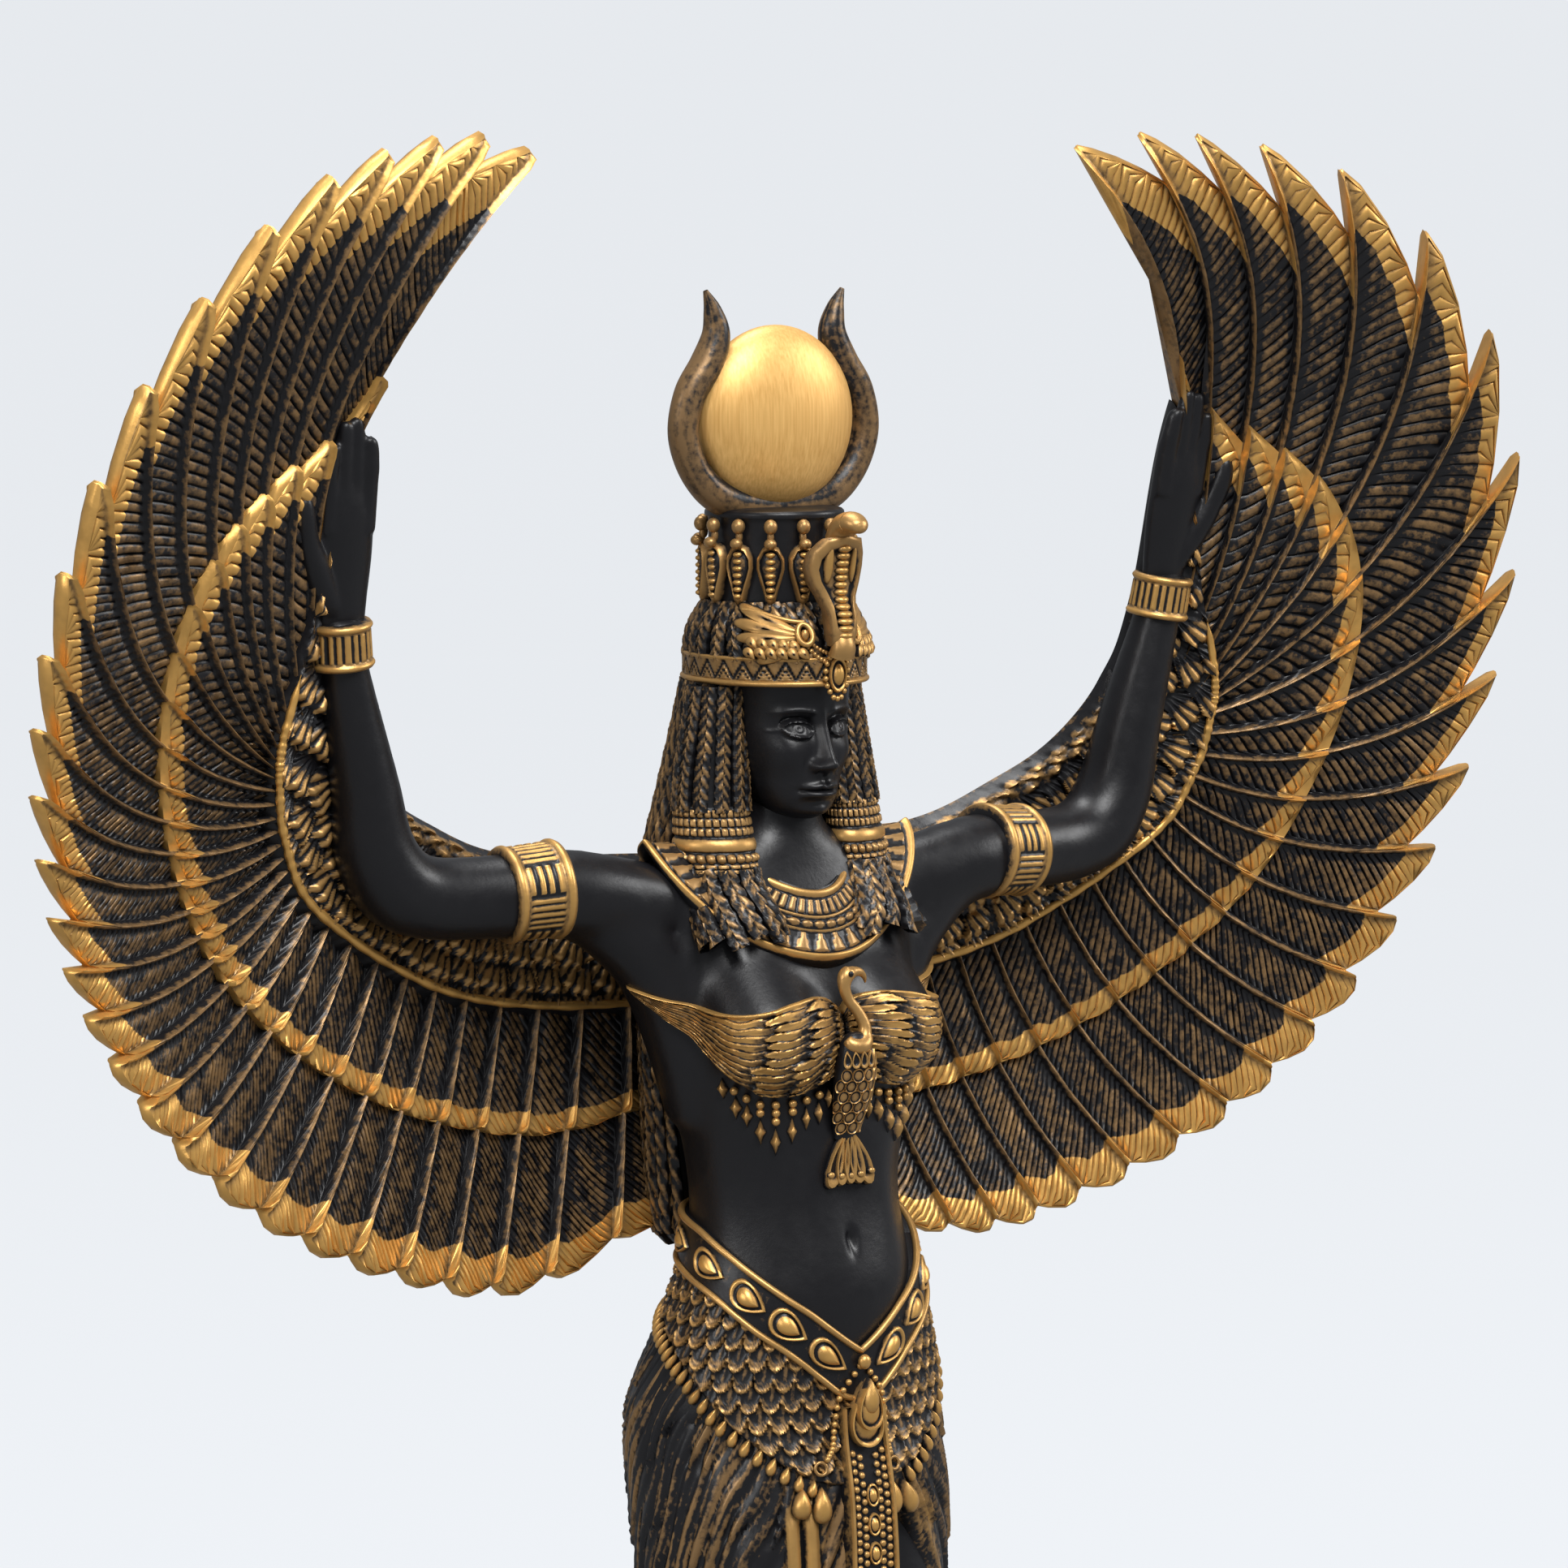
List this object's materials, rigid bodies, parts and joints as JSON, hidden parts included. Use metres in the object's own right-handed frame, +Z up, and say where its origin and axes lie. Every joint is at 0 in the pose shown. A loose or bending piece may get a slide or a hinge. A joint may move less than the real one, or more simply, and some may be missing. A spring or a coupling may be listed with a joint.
{
  "type": "isis statue",
  "caption": "Cast figurine of a goddess with raised open wings, horned sun-disc crown, broad collar and feathered skirt, standing on a low base.",
  "frame": {"origin": "middle of the base's underside, on the surface that the statue stands on", "axes": "+Z up, the figure faces -Y, its wings open along X with its left wing towards +X"},
  "size_m": [0.2472, 0.074, 0.305],
  "materials": {
    "black_resin": "satin",
    "gold_paint": "brushed gold paint"
  },
  "bodies": {
    "root": {"base": "black_resin", "isis_figure": "black_resin"}
  },
  "joints": []
}
